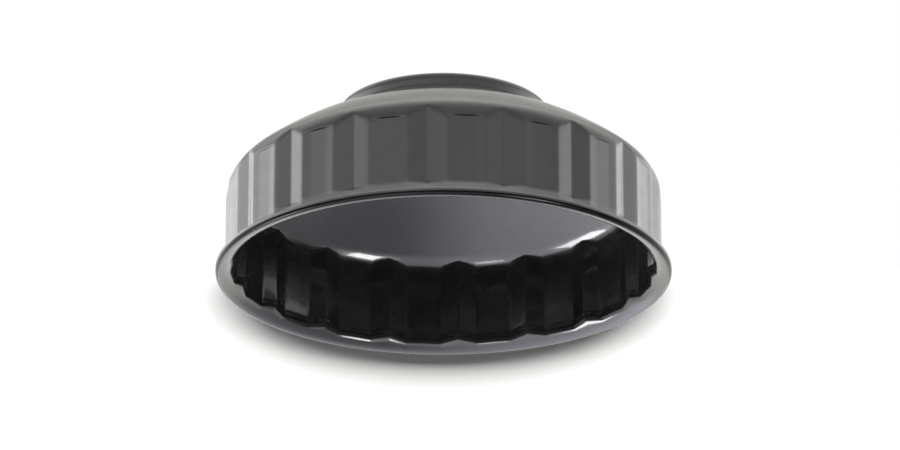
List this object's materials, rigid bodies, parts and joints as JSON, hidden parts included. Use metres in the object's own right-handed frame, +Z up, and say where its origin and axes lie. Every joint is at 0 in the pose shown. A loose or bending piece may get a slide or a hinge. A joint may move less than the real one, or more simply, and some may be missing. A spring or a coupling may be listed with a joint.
{
  "type": "oil filter wrench",
  "caption": "Cup oil filter wrench: pressed steel cup with inward grip ridges, a crowned top, a turned-out rim and a round square-drive hub.",
  "frame": {"origin": "on the cup's axis in the plane that the rim stands on", "axes": "+Z up the axis from the open mouth to the hub; one grip ridge lies on +X, and the socket's flats face X and Y"},
  "size_m": [0.1064, 0.1064, 0.042],
  "materials": {
    "cup_coating": "glossy black coating on pressed steel sheet",
    "hub_coating": "glossy black coating on turned steel",
    "weld_coating": "black coating over a rippled weld bead"
  },
  "bodies": {
    "root": {"cup_shell": "cup_coating", "drive_hub": "hub_coating", "weld_bead": "weld_coating"}
  },
  "joints": []
}
